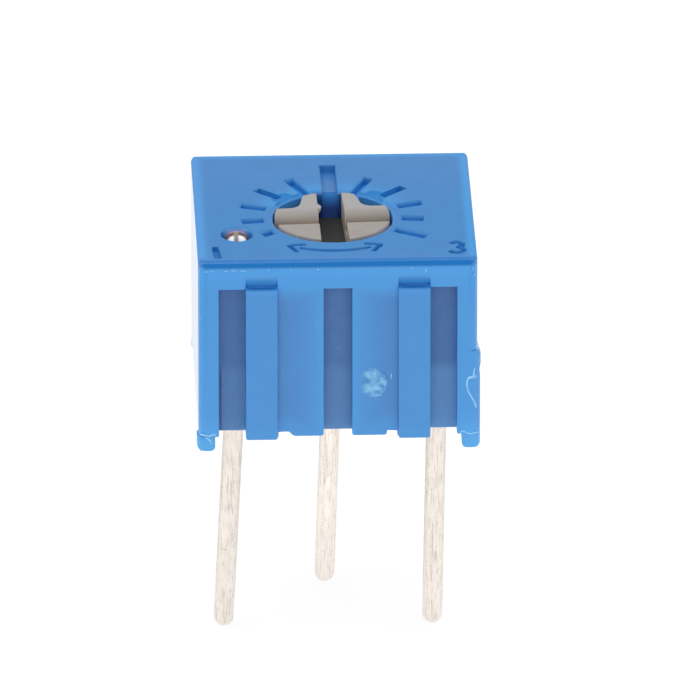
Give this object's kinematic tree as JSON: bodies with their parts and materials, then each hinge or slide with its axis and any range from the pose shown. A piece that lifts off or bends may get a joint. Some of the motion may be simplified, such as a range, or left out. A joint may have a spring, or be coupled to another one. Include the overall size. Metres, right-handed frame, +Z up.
{
  "type": "trimmer potentiometer",
  "caption": "Small square single-turn trimmer potentiometer for a circuit board, with a slotted top rotor, a marked dial and round wire terminals.",
  "frame": {"origin": "on the middle terminal's axis at the board's face, where the corner feet stand", "axes": "+X to the right with the ribbed face in front, +Y to the back, +Z up out of the board, along the rotor's axis"},
  "size_m": [0.0071, 0.0068, 0.0108],
  "materials": {
    "housing_plastic": "moulded, satin blue",
    "rotor_plastic": "moulded, satin greige",
    "seal_rubber": "moulded seal ring",
    "contact_metal": "rolled spring metal",
    "alumina": "fired, matte white",
    "cermet": "fired resistive film",
    "conductor": "fired silver film",
    "tinned_wire": "tinned and drawn",
    "solder": "soft solder",
    "potting_resin": "cast resin"
  },
  "bodies": {
    "case": {"housing": "housing_plastic", "element_plate": "alumina", "resistive_track": "cermet", "end_pad_1": "conductor", "end_pad_3": "conductor", "collector_pad": "conductor", "terminal_1": "tinned_wire", "terminal_2": "tinned_wire", "terminal_3": "tinned_wire", "solder_joint_1": "solder", "solder_joint_2": "solder", "solder_joint_3": "solder", "potting": "potting_resin"},
    "adjuster": {"rotor": "rotor_plastic", "o_ring": "seal_rubber", "wiper": "contact_metal"}
  },
  "joints": [
    {"name": "rotor_turn", "type": "hinge", "parent": "case", "child": "adjuster", "pos_m": [-0.00004, -0.00157, 0.0045], "axis": [0, 0, 1], "range_deg": [-132.5, 127.5]}
  ]
}
